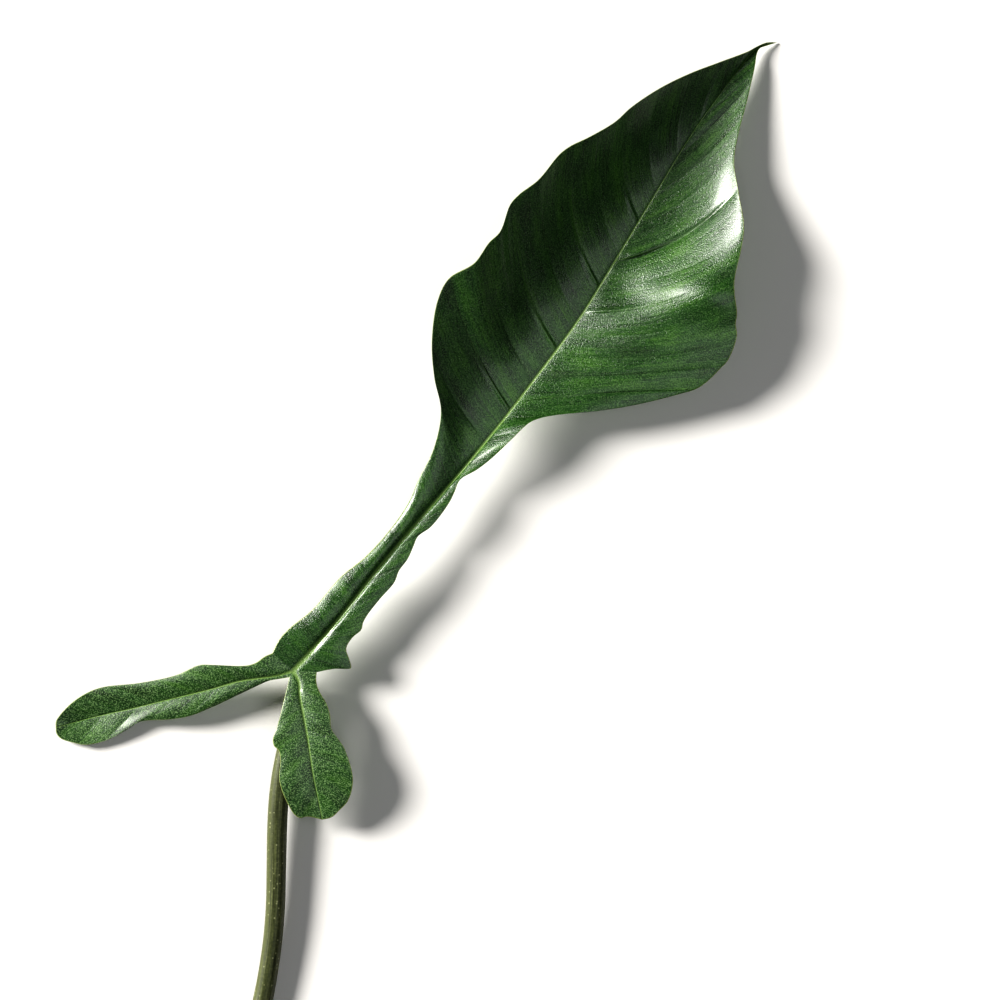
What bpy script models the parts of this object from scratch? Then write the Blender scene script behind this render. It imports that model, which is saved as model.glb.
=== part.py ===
"""A cut leaf of a fiddle-leaf philodendron, lying face up on a surface, in metres, +Z up.

The blade is one sheet with three lobes: a long front lobe, narrow as a strap and then wide, and two
ear lobes. It is drawn as three ribs that meet at the stalk, six margins, and the side veins that
run from rib to margin. The stalk is a round tapered rod that butts against the blade's root stub.
Drawn points are in millimetres from the meeting point of the ribs: right, towards the tip, and up
from the surface that the leaf lies on.
"""

import math

import bpy
import numpy as np
from mathutils import Vector

MM = 0.001

# Driving dimensions, in millimetres
LAMINA_THICKNESS = 0.8
LEAST_UPRIGHT = 0.5
CALLUS_DEPTH = 2.0
CALLUS_REACH = 3.5
VEIN_GROOVE_WIDTH = 1.6
PILLOW_HEIGHT = 0.5
STATION_STEP = 6.5
STALK_SIDES = 16
STALK_STEP = 8.0
STALK_RIDGE = 0.25
STALK_RIDGE_ANGLE = math.radians(128)
STALK_RIDGE_SPREAD = math.radians(24)
STALK_CUT_SLANT = 0.35
JOINT_GAP = 0.3
STUB_LENGTH = 17.0
STUB_STRAIGHT = 2.5
STUB_BELOW_RIB = 2.4
STUB_MIDDLE_RADIUS = 2.6
STUB_END_RADIUS = 1.3
COLUMNS_OVER_RIB = (0.0, 0.55, 1.0)
COLUMNS_OVER_LAMINA = (0.22, 0.44, 0.66, 0.86, 1.0)
DENSE_POINTS = 1500

FRONT_RIB = (
    (0, 0, 16), (10.5, 11.5, 17), (20.5, 23, 18), (38.5, 46, 18.8), (56.5, 67.5, 19.4),
    (74.5, 88.5, 19), (92.5, 110.5, 17.4), (110.5, 134, 15), (128.5, 158.5, 13),
    (146.5, 187.5, 11.5), (162.5, 214, 10.2), (180.5, 243.5, 8.5), (200.5, 271, 6.2),
    (208.5, 280.5, 4.2), (213.5, 283, 2.8), (218.5, 284, 0.9),
)
FRONT_LEFT_MARGIN = (
    (-9.5, 8, 16.4), (-6.5, 14, 16.8), (-2, 19, 17.2), (8.5, 27.5, 17.8), (21.5, 42.5, 18.6),
    (32, 51, 19.4), (43, 63, 20), (52, 76, 20.6), (56.5, 86.5, 21.6), (63, 99.5, 23.6),
    (66.5, 116.5, 27), (63.5, 132, 31), (62.5, 148, 35), (65, 165.5, 39), (70, 175.5, 41),
    (81.5, 182.5, 42.5), (88, 191.5, 43), (93, 196.5, 43), (97.5, 208.5, 43.5), (101.5, 213, 43.5),
    (110, 219.5, 43), (119.5, 231, 41.5), (124, 234.5, 40.5), (133, 239, 38.5), (144.5, 246, 34.5),
    (151.5, 252.5, 31.5), (164.5, 261.5, 25.5), (178, 268.5, 19.5), (191.5, 274, 14),
    (205, 279.5, 7.6), (209, 281.8, 5.6), (213.5, 283.8, 3.4), (218.5, 284, 0.9),
)
FRONT_RIGHT_MARGIN = (
    (10.5, -0.5, 16.4), (18.5, 1, 16.4), (25, 1, 16.6), (26, 1.4, 16.6), (25.3, 5, 16.9),
    (23.8, 10, 17.2), (26.5, 15, 17.6), (30.5, 18.5, 18), (31.5, 22, 18.3), (33.5, 25.5, 18.6),
    (39, 32.5, 19), (45.5, 40, 19.4), (47.5, 45, 19.8), (51.5, 50.5, 20), (54, 56, 20),
    (56, 60.5, 19.8), (62, 65, 20.2), (70, 75.5, 20.8), (72.5, 80.5, 20.8), (75, 86, 20.4),
    (82.5, 90.5, 20.4), (89, 95.5, 21.5), (97.5, 103.5, 23.5), (106, 111.5, 23),
    (110.5, 113.5, 21.8), (117.5, 115, 20.2), (137.5, 117, 18.6), (155.5, 120, 18), (173.5, 124.5, 18),
    (181.5, 127, 18.4), (186.5, 130.5, 19), (191, 135, 19.8), (195.5, 140, 20.8),
    (199.3, 151, 23), (198.6, 156, 24), (199.2, 160, 25), (198, 170, 26.5), (198, 175.5, 27),
    (201, 189.5, 27.5), (202.3, 199.5, 26.5), (200, 215.5, 21), (198.3, 230, 15.5),
    (201, 244.5, 12), (203.5, 253.5, 9.8), (208, 272.5, 6.2), (209, 278.5, 5),
    (210.3, 281, 4.4), (213.5, 282.3, 3), (218.5, 284, 0.9),
)
LEFT_RIB = (
    (0, 0, 16), (-6, -2, 15.6), (-15.5, -3.3, 15), (-24.5, -4.7, 14), (-38, -8.5, 12),
    (-56, -13, 8.6), (-74, -17.5, 4.6), (-89.5, -21, 1.6), (-99, -23.5, 0.8), (-108, -26, 2.4),
)
LEFT_UPPER_MARGIN = (
    (-9.5, 8, 16.4), (-13, 6.5, 16.8), (-17, 3.7, 16.4), (-21.5, 2.4, 16), (-36, 2.7, 14.8),
    (-42.5, 2.6, 13.8), (-53, -2, 11.4), (-69.5, -5.6, 8), (-86, -7.5, 5), (-92.5, -9.6, 4.4),
    (-100, -14.2, 3.6), (-105.5, -19.6, 2.9), (-107.8, -23, 2.5), (-108, -26, 2.4),
)
LEFT_LOWER_MARGIN = (
    (-1.8, -2.8, 16), (-6.5, -3.6, 15.2), (-11, -4.4, 14.8), (-20, -8.5, 13.6), (-38, -17, 11),
    (-47, -20.5, 9.6), (-56, -22.1, 8), (-69.5, -23.2, 6), (-77.5, -28, 5),
    (-86, -32, 4.2), (-94.5, -33.7, 4), (-100, -32.7, 4), (-105.4, -31, 3.6),
    (-107.6, -28.7, 3), (-108, -26, 2.4),
)
RIGHT_RIB = (
    (0, 0, 16), (2.5, -4.5, 17), (3, -11, 17.8), (4.5, -19, 18.2), (6.3, -29, 18.2),
    (7.6, -38, 17.7), (9, -47, 16.8), (11, -57, 15.2), (13, -67, 13.5),
)
RIGHT_OUTER_MARGIN = (
    (10.5, -0.5, 16.4), (10.3, -4.5, 17.3), (11.7, -9, 18.5), (15, -14.5, 19.5), (16.7, -20, 20),
    (17.1, -25.5, 20.5), (20, -30, 20.5), (23, -34.5, 20.5), (26.7, -46.5, 19),
    (26.5, -52.5, 17.5), (24.3, -58.8, 16), (20.6, -62.8, 15), (17.2, -65.9, 14.2), (13, -67, 13.5),
)
RIGHT_INNER_MARGIN = (
    (-1.8, -2.8, 16), (-3, -8, 17), (-4.5, -14, 17.8), (-5.9, -20, 18.2), (-7.6, -26, 18.4),
    (-9.2, -30.5, 18.4), (-8.6, -33.7, 18), (-6.6, -35.7, 17.8), (-5.8, -40, 17.5),
    (-6.4, -47.5, 17), (-5.4, -53, 16.6), (-2.7, -59.5, 15.8), (0.5, -64.8, 14.6), (2.9, -66.3, 14),
    (6, -65.6, 13.8), (13, -67, 13.5),
)

# Side veins: where each leaves its rib, where it meets the margin, its bow towards the root as a
# share of its length, how high the lamina is crowned along it, how far it is raised near the rib
# and lowered near the margin, and how deep the vein is sunk
FRONT_LEFT_VEINS = (
    ((10.8, 11.7), (3.6, 23), 0, 1.4, 0, 0.4), ((23, 25.7), (17, 37), 0, 1.4, 0, 0.4),
    ((35, 41.4), (30.6, 50), 0, 1.4, 0, 0.4), ((47.7, 56.7), (44, 64.4), 0.03, 1.4, 0, 0.4),
    ((61.2, 72.9), (57, 87), 0.05, 1.4, 0, 0.5), ((74.7, 88.7), (65.7, 113.4), 0.08, 0.4, 0, 0.6),
    ((86.9, 103.5), (62.5, 143.5), 0.1, -2.4, -0.4, 0.7), ((97.7, 117), (71, 176), 0.1, -3.8, -1, 1.0),
    ((108.5, 131), (87, 190), 0.15, -4, -1.2, 0.6), ((118.4, 144.5), (101, 213), 0.18, -4, -1.2, 1.0),
    ((128.3, 158), (113.4, 223), 0.19, -3.8, -1.2, 0.6), ((137.7, 172.8), (127, 236), 0.2, -3.4, -1, 1.0),
    ((146.7, 187.7), (139, 242.5), 0.2, -3, -0.8, 0.6),
    ((155.3, 201.6), (151, 252.5), 0.2, -2.4, -0.6, 1.0),
    ((163.4, 215.6), (164.7, 261.5), 0.18, -1.8, -0.4, 0.5),
    ((172.8, 231.3), (179.6, 269), 0.12, -1.2, -0.2, 0.5),
    ((182.7, 247), (192.6, 274.5), 0.08, -0.6, -0.1, 0.4), ((195, 264), (199, 277), 0.04, 0, 0, 0.3),
    ((207, 279.2), (206.4, 280.3), 0, 0, 0, 0),
)
FRONT_RIGHT_VEINS = (
    ((6.3, 7.2), (26, 1.2), 0, 0.6, 0, 0.5), ((15.3, 17.1), (31.5, 20), 0, 0.6, 0, 0.4),
    ((25.2, 28.8), (42, 36.5), 0, 0.5, 0, 0.4), ((35, 41.4), (49.5, 47.7), 0, 0.4, 0, 0.4),
    ((46, 54.5), (56, 60.5), 0, 0.3, 0, 0.3), ((57.6, 68.4), (68.4, 73.2), 0, 0.3, 0, 0.3),
    ((68.4, 81.5), (74.2, 84.2), 0, 0.2, 0, 0.3), ((78.3, 93), (88.2, 95), 0, 0.2, 0, 0.3),
    ((88.2, 104.9), (102, 108), 0, 0.4, 0, 0.4), ((95, 113.4), (119.7, 115.4), 0, 1, 0, 0.4),
    ((101.3, 121.5), (178, 126), -0.03, 1.2, 0, 1.0), ((109.4, 132.3), (192.6, 136.6), 0.03, 1.6, 0, 0.6),
    ((117.5, 143), (198.4, 147), 0.1, 2, 0, 0.9), ((124.2, 152), (199, 162.5), 0.14, 2.2, 0, 0.6),
    ((131, 161.6), (199.4, 181), 0.16, 2.2, 0, 1.1), ((138.2, 173.3), (202, 196.2), 0.17, 0, 0, 0.6),
    ((145.4, 184.5), (200, 216.5), 0.17, -2.6, 0, 1.9),
    ((154.4, 200.3), (198.4, 232.2), 0.12, -0.6, 0, 0.6),
    ((163.4, 214.2), (202.5, 249.3), 0.08, -0.2, 0, 1.1), ((173.7, 232.2), (206, 266), 0.06, -0.6, 0, 0.5),
    ((185, 250.2), (207.4, 270.5), 0.04, 0, 0, 0.4), ((198, 267.5), (208.8, 276.2), 0, 0, 0, 0.3),
    ((207, 279.2), (209.7, 279.8), 0, 0, 0, 0),
)
LEFT_UPPER_VEINS = (
    ((-8.5, -2.3), (-17, 3.7), 0.05, 0.6, 0, 0.4), ((-19.8, -4), (-33, 2.6), 0.1, 1, 0, 0.4),
    ((-31, -6.8), (-49, 0.2), 0.1, 1.2, 0, 0.5), ((-46.8, -10.6), (-64.8, -5), 0.1, 1.2, 0, 0.4),
    ((-64.8, -15), (-85, -7.4), 0.1, 0.8, 0, 0.6), ((-80.5, -19), (-97.2, -12.2), 0.1, 0.2, 0, 0.5),
    ((-91, -21.4), (-105.3, -19.4), 0.1, 0, 0, 0.6),
)
LEFT_LOWER_VEINS = (
    ((-8.5, -2.3), (-13, -5.2), 0, 0, 0, 0.2), ((-19.8, -4), (-29.7, -13), 0.05, 0.6, 0, 0.4),
    ((-35.5, -8), (-49, -20.9), 0.08, 0.8, 0, 0.4), ((-53.5, -12.4), (-68.3, -23), 0.04, 0.6, 0, 0.4),
    ((-71.5, -16.9), (-86, -32), 0.05, -0.6, 0, 0.4), ((-87.3, -20.7), (-100, -32.7), 0.1, -0.8, 0, 0.4),
    ((-97.2, -23), (-106.6, -30), 0.05, -0.3, 0, 0.2),
)
RIGHT_OUTER_VEINS = (
    ((2.7, -7.7), (11.7, -9.5), 0, 0.4, 0, 0.7), ((4, -16.7), (16.7, -20), 0.05, 0.5, 0, 0.4),
    ((5.9, -26.6), (20.7, -31.2), 0.08, 0.6, 0, 0.4), ((7.6, -36.9), (26, -43.7), 0.1, 0.8, 0, 0.4),
    ((9, -46.8), (25.7, -56.3), 0.1, 0.8, 0, 0.4), ((10.4, -55.8), (19.8, -63.5), 0.05, 0.4, 0, 0.3),
)
RIGHT_INNER_VEINS = (
    ((2.7, -7.7), (-4, -11.7), 0, 0.3, 0, 0.3), ((4, -16.7), (-6.8, -23.4), 0.05, 0.5, 0, 0.4),
    ((5.9, -26.6), (-8.1, -34.9), 0.08, 0.7, 0, 0.4), ((7.6, -36.9), (-6.3, -48.6), 0.1, 0.8, 0, 0.4),
    ((9, -46.8), (-2.3, -60.3), 0.1, 0.8, 0, 0.4), ((10.4, -55.8), (4, -66), 0.05, 0.4, 0, 0.3),
)

# A rib's half width, groove and keel, at the root and near each lobe's tip, and the power of the
# distance by which they change from one to the other
RIB_AT_ROOT = (2.0, 0.7, 3.0)
FRONT_RIB_AT_TIP = (0.35, 0.1, 0.3, 0.8)
EAR_RIB_AT_TIP = (0.5, 0.15, 0.2, 0.25)

# A lobe: its rib, its margins and veins to the left and right of the rib as it is walked from the
# root, and its rib's sizes near the tip
LOBES = (
    (FRONT_RIB, FRONT_LEFT_MARGIN, FRONT_RIGHT_MARGIN, FRONT_LEFT_VEINS, FRONT_RIGHT_VEINS, FRONT_RIB_AT_TIP),
    (LEFT_RIB, LEFT_LOWER_MARGIN, LEFT_UPPER_MARGIN, LEFT_LOWER_VEINS, LEFT_UPPER_VEINS, EAR_RIB_AT_TIP),
    (RIGHT_RIB, RIGHT_OUTER_MARGIN, RIGHT_INNER_MARGIN, RIGHT_OUTER_VEINS, RIGHT_INNER_VEINS, EAR_RIB_AT_TIP),
)

# The stalk's middle line from the joint to the cut end, with its radius
STALK = (
    (2, -5.5, 10.2, 3.4), (0.5, -13, 10.2, 3.5), (-1.8, -24.5, 10.2, 3.7), (-3.8, -35.5, 10, 3.9),
    (-5.6, -46.5, 9.6, 4.25), (-6.9, -58, 9.2, 4.45), (-7.6, -71.5, 8.7, 4.5), (-8, -89.5, 8, 4.4),
    (-8.4, -105.5, 7.3, 4.35), (-9.6, -121, 6.4, 4.35), (-11.9, -137, 5.5, 4.4),
    (-14, -148, 4.8, 4.5), (-18, -166, 4.4, 4.6), (-21.5, -181, 4.4, 4.65), (-26, -199, 4.4, 4.7),
)


class Path:
    """A smooth curve through drawn points, walked by distance along it."""

    def __init__(self, drawn):
        points = np.array(drawn, float)
        chords = np.linalg.norm(np.diff(points, axis=0), axis=1)
        knots = np.concatenate([[0], np.cumsum(np.sqrt(chords))])
        slopes = np.gradient(points, knots, axis=0)
        walk = np.linspace(0, knots[-1], DENSE_POINTS)
        span = np.clip(np.searchsorted(knots, walk, side="right") - 1, 0, len(knots) - 2)
        width = (knots[span + 1] - knots[span])[:, None]
        t = (walk - knots[span])[:, None] / width
        start, end = points[span], points[span + 1]
        leave, arrive = slopes[span] * width, slopes[span + 1] * width
        self.points = (
            start
            + leave * t
            + (3 * (end - start) - 2 * leave - arrive) * t**2
            + (2 * (start - end) + leave + arrive) * t**3
        )
        steps = np.linalg.norm(np.diff(self.points, axis=0), axis=1)
        self.distance = np.concatenate([[0], np.cumsum(steps)])

    def at(self, distance):
        return np.stack([np.interp(distance, self.distance, axis) for axis in self.points.T], -1)

    def nearest(self, spot):
        """The distance along the curve at which it passes nearest a point of the plan."""
        return self.distance[np.argmin(np.linalg.norm(self.points[:, :2] - spot, axis=1))]


def monotone(x, xs, ys):
    """Smooth interpolation that never turns back between rising values."""
    rise = np.diff(ys) / np.diff(xs)
    slopes = np.concatenate([[rise[0]], 2 / (1 / rise[:-1] + 1 / rise[1:]), [rise[-1]]])
    i = np.clip(np.searchsorted(xs, x, side="right") - 1, 0, len(xs) - 2)
    width = xs[i + 1] - xs[i]
    t = (x - xs[i]) / width
    gain = ys[i + 1] - ys[i]
    leave, arrive = slopes[i] * width, slopes[i + 1] * width
    return ys[i] + leave * t + (3 * gain - 2 * leave - arrive) * t**2 + (leave + arrive - 2 * gain) * t**3


class Half:
    """The lamina between a rib and one margin. side is 1 to the left of the rib and -1 to the right."""

    def __init__(self, rib, margin, veins, side):
        self.rib, self.margin, self.side = rib, Path(margin), side
        self.leaves = [rib.nearest(np.array(v[0])) for v in veins]
        self.meets = [self.margin.nearest(np.array(v[1])) for v in veins]
        rows = [(0,) * 6, *veins, (0,) * 6]
        self.rib_marks = np.array([0, *self.leaves, rib.distance[-1]])
        self.margin_marks = np.array([0, *self.meets, self.margin.distance[-1]])
        self.bow, self.crown, self.sway, self.sink = np.array([row[2:] for row in rows], float).T

    def margin_distance(self, along):
        return monotone(along, self.rib_marks, self.margin_marks)

    def points(self, along, at_tip):
        """Top points and the lamina's depth below them, a row for each distance along the rib."""
        share = along / self.rib.distance[-1]
        reach = self.margin_distance(along)
        rib, margin = self.rib.at(along)[:, None], self.margin.at(reach)[:, None]
        across = margin - rib
        span = np.maximum(np.linalg.norm(across, axis=2), 1e-6)
        at_root, at_tip = np.array(RIB_AT_ROOT), np.array(at_tip)
        half_width, groove, keel = (at_root + (at_tip[:3] - at_root) * share[:, None] ** at_tip[3]).T
        edge = np.minimum(half_width[:, None] / span, 0.4)
        t = np.concatenate(
            [edge * COLUMNS_OVER_RIB, edge + (1 - edge) * COLUMNS_OVER_LAMINA], axis=1
        )[:, :, None]
        bow = np.interp(along, self.rib_marks, self.bow)[:, None, None]
        backwards = self.side * np.stack([-across[..., 1], across[..., 0], 0 * across[..., 0]], -1)
        top = rib + across * t + 2 * t * (1 - t) * bow * backwards
        t = t[..., 0]
        from_rib = t * span / half_width[:, None]
        top[..., 2] += np.interp(along, self.rib_marks, self.crown)[:, None] * 4 * t * (1 - t)
        top[..., 2] += np.interp(along, self.rib_marks, self.sway)[:, None] * np.sin(2 * math.pi * t)
        top[..., 2] += self.relief(along[:, None], reach[:, None], t)
        top[..., 2] -= groove[:, None] * np.exp(-(from_rib**2))
        depth = keel[:, None] * np.sqrt(np.clip(1 - from_rib**2, 0, 1))
        return top, depth

    def relief(self, along, reach, t):
        """Sunk side veins, and the lamina pillowed between them."""
        height = 0 * t
        for k in range(1, len(self.rib_marks) - 1):
            off = (1 - t) * (along - self.rib_marks[k]) + t * (reach - self.margin_marks[k])
            fade = np.sin(math.pi * np.clip(t, 0, 1)) ** 0.7 * (1 - 0.5 * t)
            height -= self.sink[k] * fade * np.exp(-((off / VEIN_GROOVE_WIDTH) ** 2))
        k = np.clip(np.searchsorted(self.rib_marks, along, side="right") - 1, 0, len(self.rib_marks) - 2)
        between = (along - self.rib_marks[k]) / (self.rib_marks[k + 1] - self.rib_marks[k])
        inside = (k > 0) & (k < len(self.rib_marks) - 2)
        return height + PILLOW_HEIGHT * inside * np.sin(math.pi * between) * np.sin(math.pi * t)


def stations_of(halves):
    """Distances along a rib: every side vein of both halves, and even steps between them."""
    marks = np.unique(np.round(np.concatenate([half.rib_marks for half in halves]), 3))
    marks = marks[np.concatenate([[True], np.diff(marks) > 0.8])]
    marks[-1] = halves[0].rib.distance[-1]
    stations = [0.0]
    for a, b in zip(marks[:-1], marks[1:]):
        longest = max(b - a, *(np.diff(half.margin_distance(np.array([a, b])))[0] for half in halves))
        count = max(1, round(longest / STATION_STEP))
        stations += list(a + (b - a) * np.arange(1, count + 1) / count)
    return np.array(stations)


class Sheet:
    """Top points shared between neighbours, the depth below each, and the triangles over them."""

    def __init__(self):
        self.index, self.points, self.depth, self.triangles = {}, [], [], []

    def corner(self, point, depth):
        key = tuple(round(float(v), 2) for v in point[:2])
        if key not in self.index:
            self.index[key] = len(self.points)
            self.points.append(point)
            self.depth.append(depth)
        return self.index[key]

    def add_grid(self, points, depth, side):
        rows = [[self.corner(p, d) for p, d in zip(*row)] for row in zip(points, depth)]
        for low, high in zip(rows[:-1], rows[1:]):
            for j in range(len(low) - 1):
                a, b, c, d = low[j], low[j + 1], high[j + 1], high[j]
                for corners in ((a, b, c), (a, c, d)):
                    if len(set(corners)) == 3:
                        self.triangles.append(corners if side < 0 else corners[::-1])

    def rim(self):
        """Edges of one triangle only, in the direction in which the triangle runs them."""
        edges = {edge: None for a, b, c in self.triangles for edge in ((a, b), (b, c), (c, a))}
        return [edge for edge in edges if edge[::-1] not in edges]


def solid_sheet(sheet):
    """Points and faces of the sheet with its thickness, closed along its rim."""
    top = np.array(sheet.points)
    triangles = np.array(sheet.triangles)
    first, second, third = (top[corner] for corner in triangles.T)
    facing = np.cross(second - first, third - first)
    normals = np.zeros_like(top)
    for corner in triangles.T:
        np.add.at(normals, corner, facing)
    upright = np.clip(normals[:, 2] / np.linalg.norm(normals, axis=1), LEAST_UPRIGHT, 1)
    callus = CALLUS_DEPTH * np.exp(-((np.linalg.norm(top[:, :2], axis=1) / CALLUS_REACH) ** 2))
    bottom = top.copy()
    bottom[:, 2] -= LAMINA_THICKNESS / upright + np.maximum(np.array(sheet.depth), callus)
    bottom[:, 2] = np.maximum(bottom[:, 2], 0)
    top[:, 2] = np.maximum(top[:, 2], bottom[:, 2] + LAMINA_THICKNESS)
    below = len(top)
    faces = list(sheet.triangles)
    faces += [(c + below, b + below, a + below) for a, b, c in sheet.triangles]
    faces += [(b, a, a + below, b + below) for a, b in sheet.rim()]
    return np.concatenate([top, bottom]), faces


def new_object(name, points, faces, parent, material):
    mesh = bpy.data.meshes.new(name)
    mesh.from_pydata([Vector(p) * MM for p in points], [], faces)
    mesh.materials.append(material)
    mesh.shade_smooth()
    mesh.set_sharp_from_angle(angle=math.radians(50))
    obj = bpy.data.objects.new(name, mesh)
    obj.parent = parent
    bpy.context.scene.collection.objects.link(obj)
    return obj


def plain_material(name, colour, roughness):
    material = bpy.data.materials.new(name)
    material.use_nodes = True
    shader = material.node_tree.nodes["Principled BSDF"]
    shader.inputs["Base Color"].default_value = (*colour, 1)
    shader.inputs["Roughness"].default_value = roughness
    shader.inputs["Metallic"].default_value = 0
    return material


def rod(middles, radii, ridge=0, slant=0):
    """Points and faces of a rod through the given middles, with a flat facet underneath.

    A ridge runs along it on both sides of its upper face, and its far end is cut at a slant.
    """
    middles = np.array(middles)
    along = np.gradient(middles, axis=0)
    along /= np.linalg.norm(along, axis=1)[:, None]
    slants = [0] * (len(middles) - 1) + [slant]
    points = []
    for middle, forward, radius, lean in zip(middles, along, radii, slants):
        sideways = np.cross(forward, (0, 0, 1))
        sideways /= np.linalg.norm(sideways)
        upwards = np.cross(sideways, forward)
        for n in range(STALK_SIDES):
            angle = (n + 0.5) * 2 * math.pi / STALK_SIDES
            from_ridge = math.pi - abs(math.pi - angle) - STALK_RIDGE_ANGLE
            out = radius + ridge * math.exp(-((from_ridge / STALK_RIDGE_SPREAD) ** 2))
            across, up = out * math.sin(angle), -out * math.cos(angle)
            points.append(middle + across * sideways + up * (upwards - lean * forward))
    faces = []
    for ring in range(len(middles) - 1):
        for n in range(STALK_SIDES):
            a, b = ring * STALK_SIDES + n, ring * STALK_SIDES + (n + 1) % STALK_SIDES
            faces.append((b, a, a + STALK_SIDES, b + STALK_SIDES))
    last = (len(middles) - 1) * STALK_SIDES
    faces.append(tuple(range(STALK_SIDES)))
    faces.append(tuple(range(last, last + STALK_SIDES))[::-1])
    return np.array(points), faces


def build_blade(parent, material):
    sheet = Sheet()
    for rib_points, left_margin, right_margin, left_veins, right_veins, at_tip in LOBES:
        rib = Path(rib_points)
        halves = (Half(rib, left_margin, left_veins, 1), Half(rib, right_margin, right_veins, -1))
        along = stations_of(halves)
        for half in halves:
            sheet.add_grid(*half.points(along, at_tip), half.side)
    return new_object("leaf_blade", *solid_sheet(sheet), parent, material)


def build_root_stub(blade, parent, material):
    """The thick end of the midrib that the stalk butts against, joined into the blade."""
    start = np.array(STALK[0][:3])
    second = np.array(STALK[1][:3])
    backwards = (second - start) / np.linalg.norm(second - start)
    rib = Path(FRONT_RIB).at(np.array([STUB_LENGTH]))[0] - (0, 0, STUB_BELOW_RIB)
    bend = start - backwards * STUB_STRAIGHT
    middles = [start, bend, (bend + rib) / 2, rib]
    radii = [STALK[0][3], STALK[0][3], STUB_MIDDLE_RADIUS, STUB_END_RADIUS]
    stub = new_object("root_stub", *rod(middles, radii), parent, material)
    stub.hide_render = True
    stub.display_type = "WIRE"
    join = blade.modifiers.new("root stub", "BOOLEAN")
    join.operation = "UNION"
    join.solver = "EXACT"
    join.object = stub
    return stub


def build_stalk(parent, material):
    drawn = np.array(STALK)
    path = Path(drawn)
    start = JOINT_GAP
    count = round((path.distance[-1] - start) / STALK_STEP)
    walk = path.at(np.linspace(start, path.distance[-1], count + 1))
    middles, radii = walk[:, :3], walk[:, 3]
    resting = radii * math.cos(math.pi / STALK_SIDES)
    middles[:, 2] = np.maximum(middles[:, 2], resting)
    points, faces = rod(middles, radii, STALK_RIDGE, STALK_CUT_SLANT)
    return new_object("petiole", points, faces, parent, material)


def centre_over_origin(parent, objects):
    """Moves the parent so that the middle of the leaf's box stands over the origin."""
    corners = np.array([v.co for obj in objects for v in obj.data.vertices])
    low, high = corners.min(axis=0), corners.max(axis=0)
    parent.location = (-(low[0] + high[0]) / 2, -(low[1] + high[1]) / 2, 0)


def main():
    for obj in list(bpy.data.objects):
        bpy.data.objects.remove(obj)
    leaf = bpy.data.objects.new("leaf", None)
    bpy.context.scene.collection.objects.link(leaf)
    green = plain_material("glossy green lamina", (0.035, 0.11, 0.022), 0.32)
    olive = plain_material("olive stalk skin", (0.10, 0.11, 0.045), 0.45)
    blade = build_blade(leaf, green)
    build_root_stub(blade, leaf, green)
    stalk = build_stalk(leaf, olive)
    centre_over_origin(leaf, (blade, stalk))


main()
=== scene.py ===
# A cut leaf of a fiddle-leaf philodendron, lying face up on a pale table.
import math

import bpy
import numpy as np
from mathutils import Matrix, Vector


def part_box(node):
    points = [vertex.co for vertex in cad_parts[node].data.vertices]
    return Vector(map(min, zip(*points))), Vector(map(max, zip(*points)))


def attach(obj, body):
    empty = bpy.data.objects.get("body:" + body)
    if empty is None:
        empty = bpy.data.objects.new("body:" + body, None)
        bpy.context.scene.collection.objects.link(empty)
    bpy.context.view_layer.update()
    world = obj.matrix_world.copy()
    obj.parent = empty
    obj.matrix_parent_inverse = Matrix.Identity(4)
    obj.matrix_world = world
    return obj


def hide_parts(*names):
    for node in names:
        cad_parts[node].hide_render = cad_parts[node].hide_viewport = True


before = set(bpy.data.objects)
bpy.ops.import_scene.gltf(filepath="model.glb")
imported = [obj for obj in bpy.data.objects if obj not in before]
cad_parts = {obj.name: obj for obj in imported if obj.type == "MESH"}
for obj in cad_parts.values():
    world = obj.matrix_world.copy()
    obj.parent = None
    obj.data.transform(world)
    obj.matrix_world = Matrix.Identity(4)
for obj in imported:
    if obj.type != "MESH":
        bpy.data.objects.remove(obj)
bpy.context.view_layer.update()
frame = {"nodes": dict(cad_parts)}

mm = 0.001
print("frame loaded:", ", ".join(frame["nodes"]))


# Drawn points, in millimetres from the place where the three ribs meet: right, towards the tip, up.
frontRib = (
    (0, 0, 16), (10.5, 11.5, 17), (20.5, 23, 18), (38.5, 46, 18.8), (56.5, 67.5, 19.4),
    (74.5, 88.5, 19), (92.5, 110.5, 17.4), (110.5, 134, 15), (128.5, 158.5, 13),
    (146.5, 187.5, 11.5), (162.5, 214, 10.2), (180.5, 243.5, 8.5), (200.5, 271, 6.2),
    (208.5, 280.5, 4.2), (213.5, 283, 2.8), (218.5, 284, 0.9),
)
frontLeftMargin = (
    (-9.5, 8, 16.4), (-6.5, 14, 16.8), (-2, 19, 17.2), (8.5, 27.5, 17.8), (21.5, 42.5, 18.6),
    (32, 51, 19.4), (43, 63, 20), (52, 76, 20.6), (56.5, 86.5, 21.6), (63, 99.5, 23.6),
    (66.5, 116.5, 27), (63.5, 132, 31), (62.5, 148, 35), (65, 165.5, 39), (70, 175.5, 41),
    (81.5, 182.5, 42.5), (88, 191.5, 43), (93, 196.5, 43), (97.5, 208.5, 43.5), (101.5, 213, 43.5),
    (110, 219.5, 43), (119.5, 231, 41.5), (124, 234.5, 40.5), (133, 239, 38.5), (144.5, 246, 34.5),
    (151.5, 252.5, 31.5), (164.5, 261.5, 25.5), (178, 268.5, 19.5), (191.5, 274, 14),
    (205, 279.5, 7.6), (209, 281.8, 5.6), (213.5, 283.8, 3.4), (218.5, 284, 0.9),
)
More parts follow.
